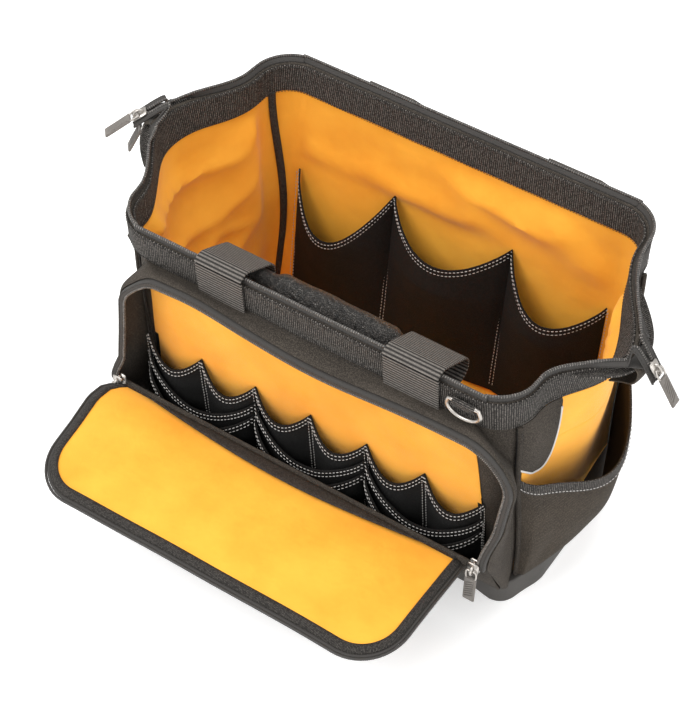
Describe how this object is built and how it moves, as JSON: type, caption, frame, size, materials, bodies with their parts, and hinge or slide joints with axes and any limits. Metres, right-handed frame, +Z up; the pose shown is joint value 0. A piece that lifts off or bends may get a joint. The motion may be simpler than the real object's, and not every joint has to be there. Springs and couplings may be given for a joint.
{
  "type": "tool bag",
  "caption": "Open-mouth fabric tool bag on a rubber tray, with web handles, end pockets and a front organiser pocket whose zipped flap folds down.",
  "frame": {"origin": "centre of the footprint on the surface the bag stands on", "axes": "+Z up, +X along the bag to the right seen from the front pocket, -Y towards the front pocket"},
  "size_m": [0.5985, 0.4732, 0.308],
  "materials": {
    "shell_fabric": "coarse woven synthetic, matt",
    "lining_fabric": "plain woven lining, amber",
    "pocket_fabric": "fine black woven pocket cloth",
    "webbing": "ribbed woven tape",
    "base_rubber": "moulded matt rubber",
    "board_plastic": "plain board",
    "zip_tape": "woven zip tape with a plastic coil",
    "nickel": "plated, slightly dull",
    "pull_rubber": "moulded grey-brown pull",
    "grip_leather": "padded sleeve, slight sheen"
  },
  "bodies": {
    "bag": {"back_d_ring_loop": "webbing", "back_handle_strap_left": "webbing", "back_handle_strap_right": "webbing", "back_left_corner_binding": "webbing", "back_left_piping": "shell_fabric", "back_panel": "shell_fabric", "back_right_corner_binding": "webbing", "back_right_piping": "shell_fabric", "back_zip_tape": "zip_tape", "base_tray": "base_rubber", "front_d_ring_loop": "webbing", "front_handle_strap_left": "webbing", "front_handle_strap_right": "webbing", "front_left_corner_binding": "webbing", "front_left_piping": "shell_fabric", "front_panel": "shell_fabric", "front_right_corner_binding": "webbing", "front_right_piping": "shell_fabric", "front_zip_tape": "zip_tape", "inner_back_pockets": "pocket_fabric", "left_end_panel": "shell_fabric", "left_end_tab": "shell_fabric", "left_side_lining": "lining_fabric", "left_side_pocket": "shell_fabric", "lining": "lining_fabric", "mouth_band_inner": "webbing", "mouth_band_outer": "webbing", "mouth_slider_left": "nickel", "mouth_slider_right": "nickel", "organiser_lower_row": "pocket_fabric", "organiser_middle_row": "pocket_fabric", "organiser_upper_row": "pocket_fabric", "pocket_gusset": "shell_fabric", "pocket_lining": "lining_fabric", "pocket_lower_panel": "shell_fabric", "pocket_zip_tape": "zip_tape", "right_end_panel": "shell_fabric", "right_end_tab": "shell_fabric", "right_side_lining": "lining_fabric", "right_side_pocket": "shell_fabric", "stiffener_board": "board_plastic"},
    "flap": {"flap_panel": "shell_fabric", "flap_lining": "lining_fabric", "flap_binding": "webbing"},
    "left_pocket_slider": {"pocket_slider_left": "nickel"},
    "right_pocket_slider": {"pocket_slider_right": "nickel"},
    "left_pocket_pull": {"pocket_pull_left": "pull_rubber"},
    "right_pocket_pull": {"pocket_pull_right": "pull_rubber"},
    "left_upper_mouth_pull": {"mouth_pull_left": "pull_rubber"},
    "left_lower_mouth_pull": {"mouth_pull_left_lower": "pull_rubber"},
    "right_mouth_pull": {"mouth_pull_right": "pull_rubber"},
    "front_ring": {"front_d_ring": "nickel"},
    "back_ring": {"back_d_ring": "nickel"},
    "front_handle": {"front_handle_grip": "grip_leather", "front_handle_web_left": "webbing", "front_handle_web_right": "webbing"},
    "back_handle": {"back_handle_grip": "grip_leather", "back_handle_web_left": "webbing", "back_handle_web_right": "webbing"}
  },
  "joints": [
    {"name": "flap_hinge", "type": "hinge", "parent": "bag", "child": "flap", "pos_m": [0, -0.14914, 0.097], "axis": [-1, 0, 0], "range_deg": [0, 87]},
    {"name": "left_pocket_slider_run", "type": "slide", "parent": "bag", "child": "left_pocket_slider", "axis": [0, 0.0784, 0.9969], "range_m": [0, 0.08]},
    {"name": "left_pocket_pull_swing", "type": "hinge", "parent": "left_pocket_slider", "child": "left_pocket_pull", "pos_m": [-0.1994, -0.15443, 0.09742], "axis": [-1, 0, 0], "range_deg": [0, 170]},
    {"name": "right_pocket_slider_run", "type": "slide", "parent": "bag", "child": "right_pocket_slider", "axis": [0, 0.0784, 0.9969], "range_m": [0, 0.08]},
    {"name": "right_pocket_pull_swing", "type": "hinge", "parent": "right_pocket_slider", "child": "right_pocket_pull", "pos_m": [0.1994, -0.15443, 0.09742], "axis": [-1, 0, 0], "range_deg": [0, 170]},
    {"name": "left_upper_mouth_pull_swing", "type": "hinge", "parent": "bag", "child": "left_upper_mouth_pull", "pos_m": [-0.26505, -0.00725, 0.30158], "axis": [-0.6691, 0.7431, 0], "range_deg": [0, 170]},
    {"name": "left_lower_mouth_pull_swing", "type": "hinge", "parent": "bag", "child": "left_lower_mouth_pull", "pos_m": [-0.26065, -0.00329, 0.29279], "axis": [0.6691, -0.7431, 0], "range_deg": [-28, 28]},
    {"name": "right_mouth_pull_swing", "type": "hinge", "parent": "bag", "child": "right_mouth_pull", "pos_m": [0.28353, 0, 0.27525], "axis": [0, -1, 0], "range_deg": [0, 170]},
    {"name": "front_ring_swing", "type": "hinge", "parent": "bag", "child": "front_ring", "pos_m": [0.16696, -0.12518, 0.277], "axis": [-1, 0, 0], "range_deg": [0, 150]},
    {"name": "back_ring_swing", "type": "hinge", "parent": "bag", "child": "back_ring", "pos_m": [-0.16696, 0.15361, 0.291], "axis": [1, 0, 0], "range_deg": [0, 150]},
    {"name": "front_handle_swing", "type": "hinge", "parent": "bag", "child": "front_handle", "pos_m": [0.015, -0.1175, 0.283], "axis": [1, 0, 0], "range_deg": [0, 104]},
    {"name": "back_handle_swing", "type": "hinge", "parent": "bag", "child": "back_handle", "pos_m": [0.015, 0.1537, 0.297], "axis": [1, 0, 0], "range_deg": [0, 158]}
  ]
}
